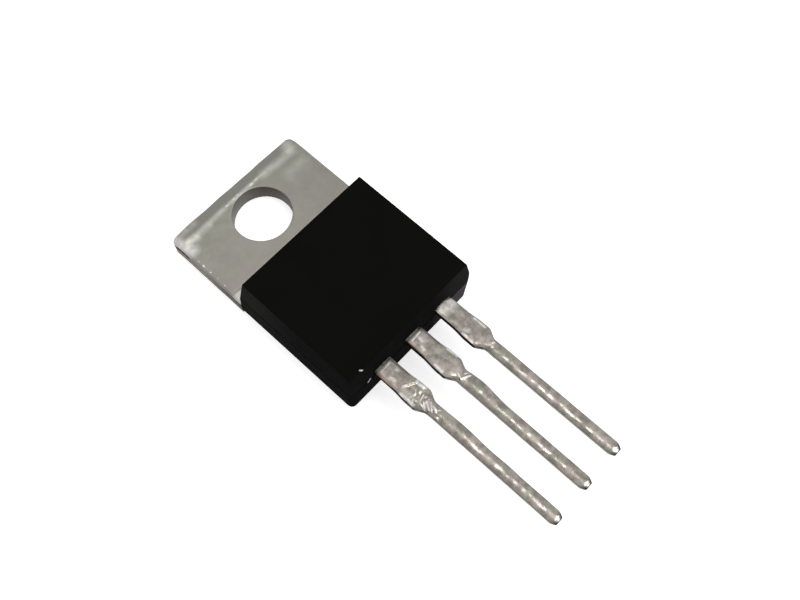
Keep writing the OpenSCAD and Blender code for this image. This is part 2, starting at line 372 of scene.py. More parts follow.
def draft_corners(bm):
    """Lets the lower corners' rounding follow the walls as they draw in."""
    slice_corners(bm)
    middle_x = (BODY_LOW.x + BODY_HIGH.x) / 2
    for vert in bm.verts:
        drop = PARTING_Z - vert.co.z
        wall_x = BODY_HIGH.x - middle_x - drop * math.tan(math.radians(SIDE_DRAFT))
        wall_y = RESIN_Y + drop * math.tan(math.radians(END_DRAFT))
        side = math.copysign(1, vert.co.x - middle_x)
        out = Vector((abs(vert.co.x - middle_x) - wall_x + CORNER_R,
                      wall_y + CORNER_R - vert.co.y))
        if drop > 0 and min(out) > 0 and out.length > CORNER_R:
            out *= CORNER_R / out.length
            vert.co.x = middle_x + side * (wall_x - CORNER_R + out.x)
            vert.co.y = wall_y + CORNER_R - out.y


def make_body(material):
    bm = cad_copy("moulded_body")
    bm.normal_update()
    outside = hull_faces(bm)
    edges = [e for e in bm.edges
             if all(f in outside for f in e.link_faces) and edge_angle(e) > BODY_SHARP_ANGLE]
    edges = [e for e in edges if not is_lower_corner(e)]
    round_edges(bm, edges, BODY_EDGE, 3)
    draft_corners(bm)
    cut_witness_line(bm)
    bmesh.ops.remove_doubles(bm, verts=bm.verts, dist=WELD)
    mesh = finish_mesh(bm, "moulded_body_skin")
    smooth(mesh, BODY_CREASE_ANGLE)
    piece = new_piece("moulded_body_skin", mesh, "moulding_compound", "moulded_body")
    even_normals(piece)
    mesh.materials.append(material)


# Tab

def land_depth(y):
    """How far the clamping land lies below the rest of the tab."""
    start = ease((y - BODY_HIGH.y + LAND_UNDER_RESIN) / LAND_UNDER_RESIN)
    return LAND_DEPTH * ease((LAND_Y - y) / LAND_RUN) * start


def tab_unevenness(place):
    """How far a point of the free tab lies off its nominal place."""
    x, y, z = place
    free = ease((y - FREE_Y) / FREE_RUN)
    corner = (Vector((x, y)) - Vector((TAB_LOW.x, TAB_HIGH.y))).length
    lift = TOP_WAVE * waver(x, y, 0, 1.6) - DROOP * hump(corner, DROOP_REACH)
    ridge = CREASE_RISE * hump(y - CREASE_Y, CREASE_REACH)
    side = SIDE_WAVE * waver(0, y, 3, 1.2) * ease((abs(x) - SIDE_WAVE_X) / WAVE_RUN)
    end = END_WAVE * waver(x, 0, 7, 1.3) * ease((y - END_WAVE_Y) / WAVE_RUN)
    rise = (lift + ridge) * free - land_depth(y)
    return Vector((side * free, end, rise * ease(z / TAB_T)))


def fill_land(bm):
    """Levels the clamping land, so that the tab's edges can be rounded in one run."""
    for vert in bm.verts:
        on_land = abs(vert.co.z - TAB_T + LAND_DEPTH) < NEAR / 2
        if on_land and vert.co.y > BODY_HIGH.y - NEAR:
            vert.co.z = TAB_T
    bmesh.ops.remove_doubles(bm, verts=bm.verts, dist=TOUCHING)
    bmesh.ops.dissolve_degenerate(bm, edges=bm.edges, dist=TOUCHING)
    join_facets(bm)


def slice_tab(bm):
    """Cuts the free tab's faces into a grid, so that they can be uneven."""
    for share in (0.0, 0.25, 0.5, 0.75, 1.0):
        bisect(bm, (0, LAND_Y - LAND_RUN * share, 0), (0, 1, 0))
    x = math.ceil(TAB_LOW.x / TAB_GRID) * TAB_GRID
    while x < TAB_HIGH.x:
        bisect(bm, (x, 0, 0), (1, 0, 0))
        x += TAB_GRID
    y = BODY_HIGH.y
    while y < TAB_HIGH.y:
        bisect(bm, (0, y, 0), (0, 1, 0))
        y += TAB_GRID


def round_tab(bm):
    """Rounds the free tab's upper edges, the hole's rim and the under edges, each its own way."""
    bare = [e for e in bm.edges
            if edge_angle(e) > TAB_SHARP_ANGLE
            and any(v.co.y > BODY_HIGH.y + NEAR for v in e.verts)]
    upper = [e for e in bare if all(v.co.z > TAB_T / 2 for v in e.verts)]
    under = [e for e in bare if all(v.co.z < TAB_T / 2 for v in e.verts)]
    rim = [e for e in upper if all(v.co.xy.length < HOLE_R + NEAR for v in e.verts)]
    round_edges(bm, [e for e in upper if e not in rim], TAB_ROLL, 4)
    round_edges(bm, [e for e in rim if e.is_valid], HOLE_ROLL, 3)
    round_edges(bm, [e for e in under if e.is_valid], TAB_UNDER_ROLL, 2)


def make_tab(material):
    bm = cad_copy("heat_tab")
    keep_within_resin(bm)
    fill_land(bm)
    bm.normal_update()
    round_tab(bm)
    slice_tab(bm)
    for vert in bm.verts:
        vert.co += tab_unevenness(vert.co)
    mesh = finish_mesh(bm, "heat_tab_skin")
    smooth(mesh, TAB_CREASE_ANGLE)
    piece = new_piece("heat_tab_skin", mesh, "tinned_copper", "heat_tab")
    even_normals(piece)
    mesh.materials.append(material)


# Leads

def tip_share(y):
    """0 on a lead's shank, growing to 1 at its cut end."""
    return clamp((TIP_Y + TIP_L - y) / TIP_L)


def half_width(y):
    """Half the width of a lead at y, by the stamped outline."""
    out = RESIN_Y - y
    swelling = SHOULDER_W + (SWELLING_W - SHOULDER_W) * ease(
        (out - ROOT_L) / (SWELLING_START - ROOT_L))
    neck = ease((out - SHOULDER_L) / NECK_L)
    width = swelling + (SHANK_W - swelling) * neck
    return (width + (TIP_W - SHANK_W) * tip_share(y) ** TIP_CURVE) / 2


def half_thickness(y):
    return LEAD_T / 2 - TIP_BEVEL * tip_share(y) ** TIP_BEVEL_CURVE


def section(left, right, half_t, crown, flatness):
    """Rounded, crowned cross-section of a lead as (x, z), round from its top right."""
    corners = [(right - LEAD_EDGE, half_t - LEAD_EDGE, 0),
               (-left + LEAD_EDGE, half_t - LEAD_EDGE, 90),
               (-left + LEAD_EDGE, -half_t + LEAD_EDGE, 180),
               (right - LEAD_EDGE, -half_t + LEAD_EDGE, 270)]
    points = []
    for i, (x, z, start) in enumerate(corners):
        for j in range(SECTION_CORNER_POINTS + 1):
            angle = math.radians(start + 90 * j / SECTION_CORNER_POINTS)
            points.append((x + LEAD_EDGE * math.cos(angle), z + LEAD_EDGE * math.sin(angle)))
        if i in (0, 2):
            next_x = corners[i + 1][0]
            for j in range(1, SECTION_TOP_POINTS):
                share = j / SECTION_TOP_POINTS
                rise = half_t + crown * (1 - abs(2 * share - 1) ** flatness)
                points.append((x + (next_x - x) * share, rise if i == 0 else -rise))
        else:
            points.append((x + math.copysign(LEAD_EDGE, x), 0))
    return points


def from_segment(x, y, segment):
    """Distance of a place from a straight stretch."""
    start = Vector(segment[:2])
    along = Vector(segment[2:]) - start
    share = clamp((Vector((x, y)) - start).dot(along) / along.length_squared)
    return (Vector((x, y)) - start - along * share).length


def dip_height(dip, x, y):
    """How far the solder stands up at a place on a lead's upper face."""
    height = sum(h * hump(math.hypot(x - lx, y - ly), r) for lx, ly, r, h in dip["lumps"])
    for ridge in dip["ridges"]:
        height += RIDGE_HEIGHT * hump(from_segment(x, y, ridge), RIDGE_REACH)
    middle, reach, depth = dip["crinkle"]
    return height + depth * hump(y - middle, reach) * waver(x, y, 1, 0.2)


def face_waves(x, y, z):
    """Broad and fine waves of the solder, the fine ones drawn out along the lead."""
    return (BROAD_WAVE * waver(x, y, z, 1.0)
            + FINE_WAVE * waver(x, y / FINE_STRETCH, z, 0.4))


def lead_sides(dip, middle_x, y):
    """How far a lead reaches to its left and right at y."""
    wave = EDGE_WAVE * ease((RESIN_Y - y - DIP_START) / EDGE_WAVE_RUN)
    half = half_width(y)
    left = half + wave * waver(middle_x - 3, y, 0, 1.3)
    right = half + wave * waver(middle_x + 3, y, 0, 1.3)
    return left, right + sum(h * hump(y - by, reach) for by, reach, h in dip["bulges"])


def lead_ring(node, middle_x, y):
    """Cross-section of one lead at y, with its solder's waves, lumps and bulges."""
    dip = DIPS[node]
    left, right = lead_sides(dip, middle_x, y)
    rippled = ease((RESIN_Y - y - DIP_START) / FACE_WAVE_RUN)
    broad = ease((y - RESIN_Y + SHOULDER_L + NECK_L) / NECK_L)
    flatness = SHANK_FLATNESS + SHOULDER_ADDED_FLATNESS * broad
    crown = SHANK_CROWN + (SHOULDER_CROWN - SHANK_CROWN) * broad
    half_t = half_thickness(y) - crown
    ring = []
    for x, z in section(left, right, half_t, crown, flatness):
        up = math.copysign(rippled, z) if abs(z) > half_t - LEAD_EDGE else 0
        rough = face_waves(middle_x + x, y, z)
        if z > 0:
            rough += dip_height(dip, x, y)
        ring.append(Vector((middle_x + x, y, LEAD_MID_Z + z + up * rough)))
    return ring


def ring_places():
    """Places of the rings along a lead, from inside the resin to its cut end."""
    start = RESIN_Y + CUT_INSIDE
    count = round((start - TIP_Y) / RING_STEP)
    return [start + (TIP_Y - start) * i / count for i in range(count + 1)]


def add_loft(bm, rings):
    """Adds a closed tube through the rings to the bmesh."""
    loops = [[bm.verts.new(point) for point in ring] for ring in rings]
    for near, far in zip(loops, loops[1:]):
        for i in range(len(near)):
            j = (i + 1) % len(near)
            bm.faces.new((near[i], near[j], far[j], far[i]))
    bm.faces.new(loops[0][::-1])
    bm.faces.new(loops[-1])


def make_lead(node, middle_x, material):
    """A lead's outside, and for the two that are nodes of their own, their inner part too."""
    if node == "heat_tab":
        name = "common_lead_dipped"
        bm = bmesh.new()
    else:
        name = node + "_dipped"
        bm = cad_copy(node)
        keep_within_resin(bm)
    add_loft(bm, [lead_ring(node, middle_x, y) for y in ring_places()])
    mesh = finish_mesh(bm, name)
    smooth(mesh, LEAD_CREASE_ANGLE)
    new_piece(name, mesh, "dipped_leads", node)
    mesh.materials.append(material)


# Materials

class Finish:
    """A procedural material that reads the part's own coordinates."""

    def __init__(self, name, **constants):
        self.material = bpy.data.materials.new(name)
        self.material.use_nodes = True
        self.nodes = self.material.node_tree.nodes
        self.links = self.material.node_tree.links
        self.surface = self.nodes["Principled BSDF"]
        self.place = self.nodes.new("ShaderNodeTexCoord").outputs["Object"]
        self.give(**constants)

    def join(self, value, socket):
        if isinstance(value, bpy.types.NodeSocket):
            self.links.new(value, socket)
        else:
            socket.default_value = value

    def give(self, **inputs):
        """Gives the shader's inputs of these names, with _ for a space, their values."""
        for name, value in inputs.items():
            self.join(value, self.surface.inputs[name.replace("_", " ")])

    def math(self, operation, first, second=0.0):
        node = self.nodes.new("ShaderNodeMath")
        node.operation = operation
        self.join(first, node.inputs[0])
        self.join(second, node.inputs[1])
        return node.outputs[0]

    def vector(self, operation, first, second, output=0):
        node = self.nodes.new("ShaderNodeVectorMath")
        node.operation = operation
        self.join(first, node.inputs[0])
        self.join(second, node.inputs[3 if operation == "SCALE" else 1])
        return node.outputs[output]

    def axis(self, name):
        """The place along one axis, in millimetres."""
        node = self.nodes.new("ShaderNodeSeparateXYZ")
        self.links.new(self.place, node.inputs[0])
        return self.math("MULTIPLY", node.outputs[name], 1 / MM)

    def facing(self, name):
        """How far the surface faces along one axis, from -1 to 1."""
        geometry = self.nodes.new("ShaderNodeNewGeometry")
        node = self.nodes.new("ShaderNodeSeparateXYZ")
        self.links.new(geometry.outputs["Normal"], node.inputs[0])
        return node.outputs[name]

    def grain(self, size, detail=3.0, stretch=(1, 1, 1)):
        """Noise between 0 and 1, with this size in millimetres."""
        node = self.nodes.new("ShaderNodeTexNoise")
        node.inputs["Scale"].default_value = 1
        node.inputs["Detail"].default_value = detail
        scaled = self.vector("MULTIPLY", self.place, [1 / (size * MM * s) for s in stretch])
        self.links.new(scaled, node.inputs["Vector"])
        return node.outputs["Fac"]

    def ramp(self, value, start, end, low=0.0, high=1.0):
        """Goes from low to high as the value goes from start to end."""
        node = self.nodes.new("ShaderNodeMapRange")
        node.interpolation_type = "SMOOTHSTEP"
        self.join(value, node.inputs["Value"])
        self.join(start, node.inputs["From Min"])
        self.join(end, node.inputs["From Max"])
        self.join(low, node.inputs["To Min"])
        self.join(high, node.inputs["To Max"])
        return node.outputs["Result"]

    def spot(self, centre, reach, soft=0.5, squash=(1, 1, 1)):
        """1 within the reach of a place in millimetres, fading to 0 at its edge."""
        scaled = self.vector("MULTIPLY", self.place, [s / MM for s in squash])
        centre = [c * s for c, s in zip(centre, squash)]
        distance = self.vector("DISTANCE", scaled, centre, 1)
        return self.ramp(distance, reach, reach * (1 - soft))

    def stroke(self, start, end, reach, strength):
        """The strength along a stretch between two places, fading to 0 at the reach."""
        start, end = Vector(start) * MM, Vector(end) * MM
        along = end - start
        offset = self.vector("SUBTRACT", self.place, tuple(start))
        share = self.vector("DOT_PRODUCT", offset, tuple(along / along.length_squared), 1)
        share = self.capped(self.math("MAXIMUM", share, 0.0))
        foot = self.vector("SCALE", tuple(along), share)
        distance = self.vector("DISTANCE", offset, foot, 1)
        return self.ramp(distance, reach * MM, 0.0, 0.0, strength)

    def strokes(self, marks, z):
        """The highest of several strokes at one height."""
        return self.any(*(self.stroke((*start, z), (*end, z), reach, strength)
                          for start, end, reach, strength in marks))

    def any(self, *masks):
        """The highest of several masks."""
        highest = masks[0]
        for mask in masks[1:]:
            highest = self.math("MAXIMUM", highest, mask)
        return highest

    def both(self, *masks):
        """The product of several masks."""
        product = masks[0]
        for mask in masks[1:]:
            product = self.math("MULTIPLY", product, mask)
        return product

    def capped(self, mask):
        return self.math("MINIMUM", mask, 1.0)

    def inverse(self, mask):
        return self.math("SUBTRACT", 1.0, mask)

    def mix(self, share, first, second):
        """Goes from the first colour to the second."""
        node = self.nodes.new("ShaderNodeMix")
        node.data_type = "RGBA"
        self.join(share, node.inputs[0])
        self.join(first if not isinstance(first, tuple) else (*first, 1), node.inputs[6])
        self.join(second if not isinstance(second, tuple) else (*second, 1), node.inputs[7])
        return node.outputs[2]

    def bump(self, *layers):
        """Raises the surface by each (height from 0 to 1, depth in millimetres)."""
        below = None
        for height, depth in layers:
            node = self.nodes.new("ShaderNodeBump")
            node.inputs["Distance"].default_value = depth * MM
            self.join(height, node.inputs["Height"])
            if below:
                self.links.new(below, node.inputs["Normal"])
            below = node.outputs["Normal"]
        self.links.new(below, self.surface.inputs["Normal"])


BLACK = (0.0, 0.0, 0.0)

# How far up a face points where the top's look gives way to the side's
RESIN_TOP_TO_SIDE = (0.9, 0.4)
TAB_TOP_TO_SIDE = (0.5, 0.2)
LEAD_TOP_TO_EDGE = (0.965, 0.85)
# How far sideways a face points where a lead's side begins, and its stretches of painted shade
LEAD_SIDE_FROM = (0.8, 0.98)
LEAD_RIGHT_FROM = (0.45, 0.7)
LEAD_LEFT_FROM = (-0.35, -0.6)

# Resin: colours of the top, the walls' painted sheen and its stronger stretch, the filler's
# grains, the greyer painted sheen of one corner above and below the parting line, and the painted
# glints on the chips
RESIN_TOP = ((0.0046, 0.0047, 0.0039), (0.0068, 0.0069, 0.0057))
RESIN_WALL_SHEEN = (0.0078, 0.0078, 0.0081)
RESIN_STRONGER_SHEEN = (0.0230, 0.0235, 0.0220)
RESIN_FILLER = (0.012, 0.012, 0.013)
RESIN_CORNER_SHEEN = ((0.019, 0.018, 0.019), (0.070, 0.058, 0.070))
RESIN_CHIP_GLINT = (0.7, 0.7, 0.68)

# Resin: y from and to which the walls' painted sheen grows stronger, how much painted shade
# darkens them below the parting line, and the painted glints on the chips as (from, to, half
# width, strength)
STRONGER_SHEEN_RUN = (-9.0, -4.0)
LOWER_SHADE = 0.55
CHIP_GLINTS = [
    ((-3.98, -12.38, 4.28), (-3.86, -12.5, 4.27), 0.07, 1.3),
    ((-3.76, -12.76, 2.5), (-3.56, -12.76, 2.62), 0.09, 1.6),
]


def resin_finish():
    """Black filled epoxy: satin on top, with painted sheen on the walls, greyer at one lower
    corner, painted shade below the parting line and in the witness groove, and painted glints on
    two chips.
    """
    look = Finish("black_filled_epoxy", Specular_IOR_Level=0.001)
    x, y, z = (look.axis(name) for name in "XYZ")
    side = look.ramp(look.facing("Z"), *RESIN_TOP_TO_SIDE)
    lower = look.ramp(z, PARTING_Z + WITNESS_HALF_W, PARTING_Z - WITNESS_HALF_W)
    base = look.mix(look.grain(2.2, 4), *RESIN_TOP)
    # Painted sheen: the walls are lighter than the top.
    base = look.mix(side, base, RESIN_WALL_SHEEN)
    # Painted sheen, stronger on the walls towards the tab's end.
    stronger_sheen = look.both(side, look.ramp(y, *STRONGER_SHEEN_RUN, 0.0, 0.8))
    base = look.mix(stronger_sheen, base, RESIN_STRONGER_SHEEN)
    base = look.mix(look.both(side, lower, LOWER_SHADE), base, BLACK)
    base = look.mix(look.ramp(look.grain(0.05, 1), 0.72, 0.8), base, RESIN_FILLER)
    # Painted sheen, greyer, on the walls at one corner of the lead end, above and below the
    # parting line.
    corner = look.both(side, look.ramp(x, 1.5, 4.0),
                       look.ramp(y, RESIN_Y + 1.5, RESIN_Y + 0.2))
    base = look.mix(corner, base, look.mix(lower, *RESIN_CORNER_SHEEN))
    # Painted shade in the witness line's groove.
    off_seam = look.math("ABSOLUTE", look.math("SUBTRACT", z, PARTING_Z))
    seam_shade = look.ramp(off_seam, 2 * WITNESS_HALF_W, WITNESS_HALF_W)
    base = look.mix(look.both(side, seam_shade), base, BLACK)
    # Painted glints, near white, on two small chips at the body's edges near the first lead.
    chip_glints = look.capped(look.any(*(look.stroke(*chip) for chip in CHIP_GLINTS)))
    look.give(Base_Color=look.mix(chip_glints, base, RESIN_CHIP_GLINT),
              Roughness=look.ramp(look.grain(0.5, 4), 0.3, 0.7, 0.5, 0.62))
    look.bump((look.grain(0.06, 3), 0.004), (look.grain(1.4, 2), 0.01))
    return look.material


# Tab: colours of the plating, its pink stretch, painted shade on the coined strip, painted
# highlights and those at the left edge, glints, painted sheen on the land and a painted highlight
# at its left end
PLATING = ((0.255, 0.25, 0.215), (0.385, 0.38, 0.335))
PLATING_PINK = (0.335, 0.308, 0.28)
STRIP_SHADE = (0.255, 0.26, 0.23)
TAB_HIGHLIGHT = ((0.86, 0.85, 0.77), (0.92, 0.88, 0.92))
TAB_GLINT = (0.95, 0.93, 0.88)
LAND_SHEEN = (0.40, 0.385, 0.35)
LAND_STUB_HIGHLIGHT = (0.60, 0.59, 0.54)

# Tab: colours of the painted shade on the sheared edges, on the hole's wall and on its redder
# side, and the bare copper
SHEARED_SHADE = ((0.066, 0.055, 0.046), (0.105, 0.092, 0.078))
HOLE_WALL_SHADE = (0.125, 0.122, 0.104)
HOLE_RED_SHADE = (0.058, 0.046, 0.038)
BARE_COPPER = ((0.020, 0.014, 0.010), (0.085, 0.043, 0.022))

# Tab: y from and to which the plating turns pink, the sides turn dull and the copper brightens
PINK_RUN = (1.0, -3.2)
DULL_RUN = (0.5, -3.0)
COPPER_RUN = (1.9, 1.4)

# Painted highlights on the tab's top: from, to, half width and strength
TAB_HIGHLIGHTS = [
    ((-5.0, 2.6), (-4.75, 1.35), 0.75, 1.0),
    ((-4.7, 1.9), (-3.95, 1.8), 0.5, 0.9),
    ((-4.1, 1.85), (-2.8, 1.85), 0.4, 0.5),
    ((-4.6, 2.6), (-3.4, 2.7), 0.5, 0.4),
    ((-2.8, 1.9), (-1.2, 2.0), 0.3, 0.4),
    ((-1.2, 2.0), (2.9, 2.05), 0.22, 0.45),
    ((2.0, 2.0), (4.2, 1.9), 0.5, 0.35),
    ((4.3, 2.0), (4.6, 2.5), 0.7, 0.5),
    ((3.0, 0.8), (4.4, 0.9), 0.6, 0.15),
]
# Crisp glints along its crease, its left edge and its free end
TAB_GLINTS = [
    ((-1.2, 2.0), (-1.05, 2.0), 0.09, 0.6),
    ((-0.55, 2.05), (-0.45, 2.05), 0.07, 0.6),
    ((-0.2, 2.1), (-0.1, 2.1), 0.07, 0.5),
    ((0.9, 2.0), (1.05, 2.0), 0.1, 0.7),
    ((1.35, 2.05), (1.5, 2.05), 0.08, 0.5),
    ((-4.93, 0.5), (-4.93, 0.4), 0.06, 0.4),
    ((-4.93, 0.05), (-4.95, -0.05), 0.08, 0.9),
    ((-4.95, -0.6), (-4.93, -0.65), 0.07, 0.7),
    ((-4.9, -1.2), (-4.95, -1.25), 0.05, 0.3),
    ((-4.95, -1.85), (-4.95, -1.95), 0.06, 0.4),
    ((-3.1, 2.75), (-3.0, 2.75), 0.07, 0.6),
]
# Where copper shows at the tab's left corner, in the same order
TAB_COPPER = ((TAB_LOW.x, 2.5, 1.1), (TAB_LOW.x, 1.4, 0.9), 0.4, 1.6)


def tab_top(look, x, y):
    """Colour of the tab's plated top, with painted shade, highlights, glints and sheen."""
    base = look.mix(look.grain(0.9, 5), *PLATING)
    base = look.mix(look.ramp(y, *PINK_RUN, 0.0, 0.7), base, PLATING_PINK)
    base = look.mix(look.ramp(x, 0.0, 5.0, 0.0, 0.12), base, BLACK)
    # Painted shade over the coined strip along the free end.
    strip = look.ramp(y, CREASE_Y - 0.05, CREASE_Y + 0.2, 0.0, 0.75)
    base = look.mix(strip, base, STRIP_SHADE)
    cloud = look.ramp(look.grain(0.6, 4), 0.3, 0.7, 0.45, 1.0)
    # Painted highlights at the crease and the corners, broken up by noise, of another hue at the
    # left edge.
    marks = look.both(look.strokes(TAB_HIGHLIGHTS, TAB_T), cloud)
    base = look.mix(marks, base, look.mix(look.ramp(x, -4.5, -5.0), *TAB_HIGHLIGHT))
    base = look.mix(look.strokes(TAB_GLINTS, TAB_T), base, TAB_GLINT)
    # Painted sheen on the clamping land, and a painted highlight at its left end.
    land = look.ramp(y, LAND_Y, LAND_Y - 0.15)
    base = look.mix(land, base, LAND_SHEEN)
    stub = look.spot((TAB_LOW.x + 0.3, BODY_HIGH.y + 0.2, TAB_T), 0.7, 0.6)
    return look.mix(look.both(land, stub), base, LAND_STUB_HIGHLIGHT)


def tab_edges(look, x, side, base):
    """Adds painted shade on the sheared edges and on the hole's wall to the colour of the top."""
    patches = look.ramp(look.grain(0.5, 3, (1, 1, 2)), 0.35, 0.65)
    # Painted shade on the sheared sides, in patches.
    base = look.mix(side, base, look.mix(patches, *SHEARED_SHADE))
    # Painted shade on the hole's wall, darker and redder on its +x side.
    hole = look.both(side, look.spot((0, 0, 0), HOLE_R + 0.1, 0.01, (1, 1, 0)))
    base = look.mix(hole, base, HOLE_WALL_SHADE)
    return look.mix(look.both(hole, look.ramp(x, -0.2, 1.6)), base, HOLE_RED_SHADE)


def tab_finish():
    """Matt plating over copper, with painted shade on its sheared edges and hole, and bare copper
    at one corner.
    """
    look = Finish("matt_plated_copper", Specular_IOR_Level=0.0)
    x, y = look.axis("X"), look.axis("Y")
    side = look.ramp(look.facing("Z"), *TAB_TOP_TO_SIDE)
    base = tab_edges(look, x, side, tab_top(look, x, y))
    ragged = look.ramp(look.grain(0.3, 4), 0.36, 0.54)
    bare = look.capped(look.both(side, look.stroke(*TAB_COPPER), ragged))
    copper = look.mix(look.ramp(y, *COPPER_RUN), *BARE_COPPER)
    dull = look.both(side, look.ramp(y, *DULL_RUN, 0.1, 0.6))
    look.give(Base_Color=look.mix(bare, base, copper),
              Metallic=look.inverse(look.any(bare, dull)),
              Roughness=look.ramp(look.grain(0.12, 2), 0.2, 0.8, 0.40, 0.52))
    look.bump((look.grain(0.05, 2), 0.0015), (look.grain(0.5, 3), 0.005))
    return look.material


# Leads: colours of the solder, darker and lighter and each in two hues, its painted highlights,
# painted shade, copper, black painted shade near the roots, painted highlights on the cut ends
# and the cut faces
DIP_DARKER = ((0.207, 0.198, 0.168), (0.230, 0.203, 0.186))
DIP_LIGHTER = ((0.338, 0.322, 0.276), (0.374, 0.331, 0.303))
DIP_HIGHLIGHT = (0.92, 0.89, 0.86)
DIP_SHADE = (0.10, 0.092, 0.088)
DIP_COPPER = (0.40, 0.30, 0.22)
ROOT_SHADE_BLACK = (0.012, 0.008, 0.006)
END_HIGHLIGHT = (1.0, 0.99, 0.98)
CUT_FACE = (0.06, 0.055, 0.05)

# Leads: colours of the painted shade on the rolled edges, far from the resin and near it, on the
# sheared sides, its darker stretch at the roots, and the copper on one of them
ROLLED_EDGE_SHADE = ((0.075, 0.066, 0.058), (0.045, 0.038, 0.032))
LEAD_SIDE_SHADE = ((0.165, 0.155, 0.135), (0.26, 0.245, 0.215))
ROOT_SIDE_SHADE = (0.07, 0.058, 0.05)
ROOT_COPPER = (0.42, 0.27, 0.18)

# Leads: y from and to which the painted shade of the rolled edges, the right sides and the left
# sides darkens
EDGE_RUN = (-16.5, -14.5)
RIGHT_RUN = (-16.6, -13.6)
LEFT_RUN = (-16.8, -15.4)

# Painted highlights on the leads, drawn like the tab's: the first lead's root and shoulder, its
# wrinkled neck, and then the middle lead and the third
LEAD_HIGHLIGHTS = [
    ((-2.95, -13.0), (-2.15, -12.95), 0.05, 0.7),
    ((-2.95, -13.0), (-3.0, -14.2), 0.06, 0.2),
    ((-2.15, -12.95), (-2.1, -13.8), 0.06, 0.2),
    ((-2.85, -13.6), (-2.8, -13.85), 0.2, 0.6),
    ((-2.25, -13.5), (-2.2, -13.65), 0.15, 0.4),
    ((-2.7, -14.45), (-2.5, -14.6), 0.16, 0.45),
    ((-2.4, -14.55), (-1.95, -14.85), 0.07, 0.45),
    ((-1.95, -14.85), (-1.9, -15.4), 0.22, 0.8),
    ((-3.15, -14.65), (-3.15, -15.05), 0.18, 0.75),
    ((-3.1, -15.15), (-3.15, -15.55), 0.16, 0.75),

    ((-2.35, -15.1), (-2.65, -15.3), 0.06, 0.5),
    ((-2.85, -15.5), (-2.85, -15.55), 0.08, 0.7),
    ((-2.25, -15.6), (-2.65, -15.7), 0.06, 0.7),
    ((-2.8, -15.85), (-2.85, -16.1), 0.1, 0.8),
    ((-2.6, -15.9), (-3.0, -16.3), 0.1, 0.6),
    ((-2.45, -16.0), (-2.8, -16.45), 0.1, 0.7),
    ((-2.35, -16.25), (-2.75, -16.6), 0.1, 0.75),
    ((-2.45, -16.5), (-2.5, -16.75), 0.13, 1.0),
    ((-2.4, -16.85), (-2.3, -16.95), 0.07, 0.9),
    ((-2.8, -17.0), (-2.8, -17.15), 0.1, 1.0),

    ((-0.4, -13.0), (0.35, -12.95), 0.06, 0.8),
    ((-0.4, -13.0), (-0.45, -13.9), 0.06, 0.15),
    ((-0.25, -13.65), (-0.3, -13.85), 0.18, 0.5),
    ((0.05, -13.2), (0.0, -13.4), 0.16, 0.4),
    ((0.65, -14.8), (0.7, -15.5), 0.12, 0.8),
    ((-0.55, -14.9), (-0.6, -15.5), 0.14, 0.9),
    ((-0.05, -16.2), (-0.2, -16.55), 0.1, 1.0),
    ((-0.2, -16.55), (0.35, -16.8), 0.09, 1.0),
    ((0.2, -16.5), (0.5, -16.7), 0.07, 1.0),

    ((2.15, -12.9), (2.95, -13.0), 0.75, 0.6),
    ((3.1, -14.7), (3.1, -15.5), 0.12, 0.8),
    ((1.95, -14.8), (1.9, -15.6), 0.12, 0.9),
    ((2.2, -14.8), (2.3, -15.0), 0.22, 0.5),
    ((2.65, -16.45), (2.75, -16.5), 0.1, 1.0),
]
# Painted shade: dark bands beside the resin and along the +x edge of two roots, in small dents,
# two broad faint shades, and a dark line near each cut end
LEAD_SHADES = [
    ((-3.1, -12.8), (-2.0, -12.8), 0.13, 0.9),
    ((-2.0, -12.8), (-1.95, -14.2), 0.15, 0.8),
    ((-0.6, -12.8), (0.6, -12.8), 0.13, 0.9),
    ((0.55, -12.8), (0.6, -14.2), 0.15, 0.8),
    ((-2.95, -16.35), (-2.95, -16.45), 0.07, 0.9),
    ((-2.2, -16.75), (-2.25, -16.9), 0.05, 0.7),
    ((0.0, -14.3), (0.0, -15.3), 0.9, 0.15),
    ((2.5, -14.3), (2.6, -15.4), 0.9, 0.13),
    *(((x, TIP_Y + 0.33), (x + 0.25, TIP_Y + 0.3), 0.06, 0.8) for x in LEAD_MIDDLES),
]
# Nearly black painted shade at the edges of two roots
LEAD_ROOT_SHADES = [
    ((-0.65, -12.8), (-0.67, -14.1), 0.14, 1.6),
    ((-3.2, -12.8), (-3.2, -13.1), 0.12, 2.0),
]
# Copper that shows through at the roots, on the upper faces and on the first lead's side
LEAD_COPPER = [
    ((-0.5, -13.1), (-0.5, -14.0), 0.22, 0.5),
    ((-3.0, -13.1), (-2.95, -13.9), 0.3, 0.45),
    ((1.95, -12.85), (1.95, -13.4), 0.12, 0.8),
]
SIDE_COPPER = ((-3.2, -12.9, 2.9), (-3.2, -13.9, 2.9), 0.12, 0.8)
# Painted highlights on the bevels of the cut ends, each of two strokes side by side
LEAD_END_HIGHLIGHTS = [((x - 0.13, TIP_Y + out), (x + 0.13, TIP_Y + out), 0.11, 2.0)
             for x in LEAD_MIDDLES for out in (0.09, 0.2)]


